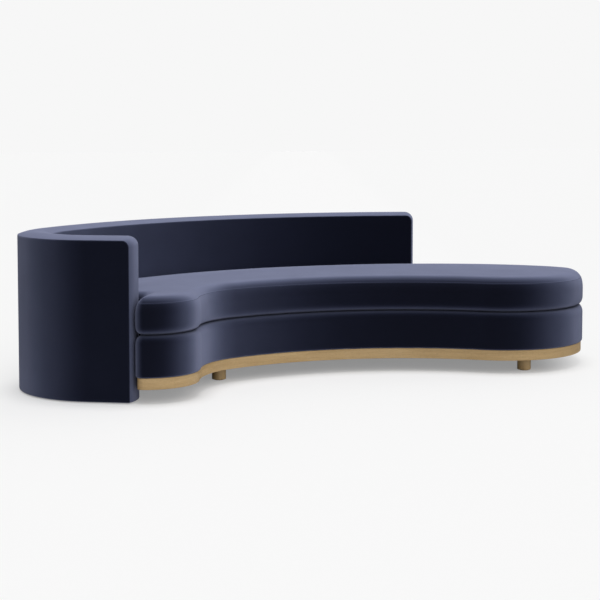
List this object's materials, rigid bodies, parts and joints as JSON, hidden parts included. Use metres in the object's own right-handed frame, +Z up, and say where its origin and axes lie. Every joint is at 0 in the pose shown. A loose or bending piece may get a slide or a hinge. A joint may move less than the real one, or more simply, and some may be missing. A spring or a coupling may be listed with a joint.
{
  "type": "curved chaise longue",
  "caption": "Curved velvet chaise longue: a bowed back that wraps into one arm, a kidney-shaped seat with a loose cushion, an oak plinth and round oak legs.",
  "frame": {"origin": "on the floor, under the middle of the whole plan", "axes": "+Z up, +Y towards the back, +X towards the chaise end, with the arm at -X"},
  "size_m": [2.8854, 1.398, 0.72],
  "materials": {
    "velvet": "dark navy velvet with a soft sheen",
    "oak": "light oak under matt lacquer",
    "plywood": "sawn birch plywood",
    "pine": "planed pine",
    "foam": "cut upholstery foam",
    "wadding": "polyester wadding",
    "cambric": "black non-woven cloth",
    "webbing": "black elastic webbing",
    "steel": "zinc plated",
    "nylon": "black moulded nylon",
    "zip": "nylon coil zip on tape"
  },
  "bodies": {
    "frame": {"oak_plinth_band": "oak", "plinth_battens": "pine", "leg_blocks": "plywood", "dust_cover": "cambric", "leg_front_left": "oak", "leg_front_chaise": "oak", "leg_rear_chaise": "oak", "leg_rear_middle": "oak", "middle_support": "nylon", "leg_glides": "nylon", "hanger_bolts": "steel", "base_floor_panel": "plywood", "base_ribs": "plywood", "base_ply_skin": "plywood", "base_top_ring": "plywood", "seat_webbing": "webbing", "deck_foam": "foam", "base_side_padding": "foam", "base_cover": "velvet", "joining_blocks": "plywood", "back_bottom_rail": "plywood", "back_middle_rail": "plywood", "back_top_rail": "plywood", "back_lower_posts": "pine", "back_upper_posts": "pine", "back_end_boards": "plywood", "back_outer_ply": "plywood", "back_inner_ply": "plywood", "back_packing_rail": "pine", "back_inner_foam": "foam", "back_outer_wadding": "wadding", "back_top_foam": "foam", "back_end_pads": "foam", "back_cover": "velvet", "back_glides": "nylon", "joining_bolts": "steel"},
    "seat_cushion": {"cushion_core": "foam", "cushion_cover": "velvet", "cushion_zip": "zip"}
  },
  "joints": [
    {"name": "cushion_lift", "type": "slide", "parent": "frame", "child": "seat_cushion", "axis": [0, 0, 1], "range_m": [0, 0.25]}
  ]
}
